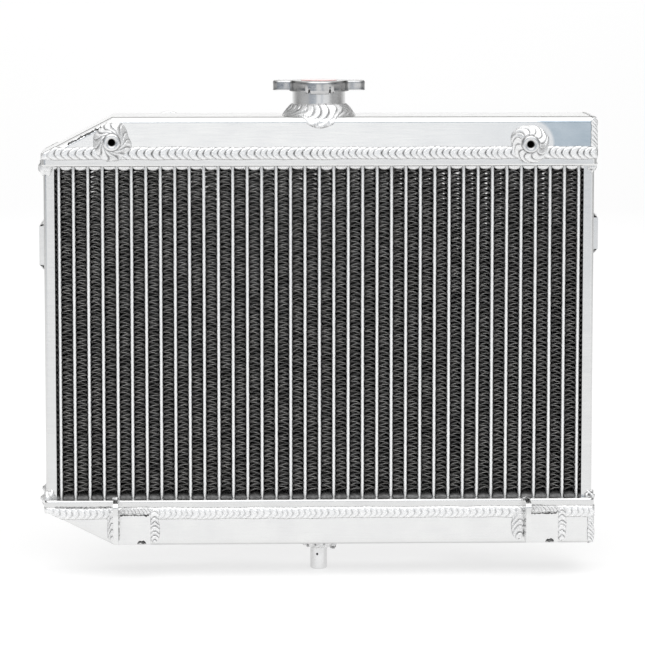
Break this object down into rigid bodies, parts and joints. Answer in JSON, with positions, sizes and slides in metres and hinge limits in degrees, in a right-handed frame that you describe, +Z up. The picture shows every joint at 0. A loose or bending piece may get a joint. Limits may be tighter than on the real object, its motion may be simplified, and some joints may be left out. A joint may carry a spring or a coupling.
{
  "type": "car radiator",
  "caption": "Welded aluminium down-flow car radiator: tube-and-fin core between folded tanks, with pressure cap, hose necks, drain plug, locating pin and mounting bosses.",
  "frame": {"origin": "on the axis of the lower locating pin, at the pin's shoulder", "axes": "+Z up, +X along the tanks to the right seen from the front, +Y through the core towards the engine side"},
  "size_m": [0.388, 0.122, 0.3445],
  "materials": {
    "sheet_aluminium": "bright rolled sheet",
    "tube_aluminium": "brazed, bright edges",
    "fin_aluminium": "thin louvred foil, dull",
    "weld_aluminium": "rippled weld bead",
    "turned_aluminium": "turned, satin",
    "cap_steel": "pressed stainless, polished",
    "spring_steel": "spring wire",
    "plated_steel": "zinc plated",
    "seal_rubber": "black rubber",
    "brass": "turned brass",
    "cap_label": "printed ring on a white disc"
  },
  "bodies": {
    "root": {"tubes_front_row": "tube_aluminium", "tubes_rear_row": "tube_aluminium", "fin_strips": "fin_aluminium", "side_plate_left": "sheet_aluminium", "side_plate_right": "sheet_aluminium", "top_header_plate": "sheet_aluminium", "bottom_header_plate": "sheet_aluminium", "top_tank": "sheet_aluminium", "bottom_tank": "sheet_aluminium", "top_tank_end_plate": "sheet_aluminium", "bottom_tank_end_plate": "sheet_aluminium", "filler_neck": "turned_aluminium", "overflow_nipple": "turned_aluminium", "inlet_neck": "turned_aluminium", "outlet_neck": "turned_aluminium", "boss_left": "turned_aluminium", "boss_right": "turned_aluminium", "bracket_left": "sheet_aluminium", "bracket_right": "sheet_aluminium", "lower_pin": "turned_aluminium", "pin_pad": "sheet_aluminium", "side_pad_left": "sheet_aluminium", "side_pad_right": "sheet_aluminium", "drain_boss": "turned_aluminium", "weld_top_seam": "weld_aluminium", "weld_bottom_seam": "weld_aluminium", "weld_end_plates": "weld_aluminium", "weld_neck": "weld_aluminium", "weld_nipple": "weld_aluminium", "weld_hose_necks": "weld_aluminium", "weld_drain": "weld_aluminium", "weld_bosses": "weld_aluminium", "weld_brackets": "weld_aluminium", "weld_pin": "weld_aluminium", "weld_side_pads": "weld_aluminium", "weld_corners": "weld_aluminium"},
    "cap_turning": {"cap_shell": "cap_steel", "cap_label": "cap_label", "cap_rivet": "cap_steel"},
    "cap_insert": {"cap_bell": "cap_steel", "cap_diaphragm": "spring_steel", "cap_top_gasket": "seal_rubber", "pressure_spring": "spring_steel"},
    "pressure_valve": {"pressure_valve_plate": "cap_steel", "pressure_gasket": "seal_rubber", "vacuum_spring": "spring_steel"},
    "vacuum_valve": {"vacuum_valve": "brass"},
    "drain_carrier": {"drain_washer": "seal_rubber"},
    "drain_plug": {"drain_plug": "plated_steel"}
  },
  "joints": [
    {"name": "cap_lift", "type": "slide", "parent": "root", "child": "cap_insert", "axis": [0, 0, 1], "range_m": [0, 0.05]},
    {"name": "cap_turn", "type": "hinge", "parent": "cap_insert", "child": "cap_turning", "pos_m": [0, -0.005, 0.32], "axis": [0, 0, -1], "range_deg": [0, 90]},
    {"name": "pressure_valve_lift", "type": "slide", "parent": "cap_insert", "child": "pressure_valve", "axis": [0, 0, 1], "range_m": [0, 0.002], "stiffness_N_per_m": 4000, "springref_m": -0.012, "deforming": ["pressure_spring"]},
    {"name": "vacuum_valve_drop", "type": "slide", "parent": "pressure_valve", "child": "vacuum_valve", "axis": [0, 0, -1], "range_m": [0, 0.002], "stiffness_N_per_m": 200, "springref_m": -0.003, "deforming": ["vacuum_spring"]},
    {"name": "drain_plug_travel", "type": "slide", "parent": "root", "child": "drain_carrier", "axis": [0, 1, 0], "range_m": [0, 0.0121]},
    {"name": "drain_plug_turn", "type": "hinge", "parent": "drain_carrier", "child": "drain_plug", "pos_m": [-0.06, 0.04, 0.0138], "axis": [0, 1, 0], "range_deg": [0, 2880]}
  ],
  "couplings": [
    {"joint": "drain_plug_travel", "follows": "drain_plug_turn", "m_per_rad": 0.00023873}
  ]
}
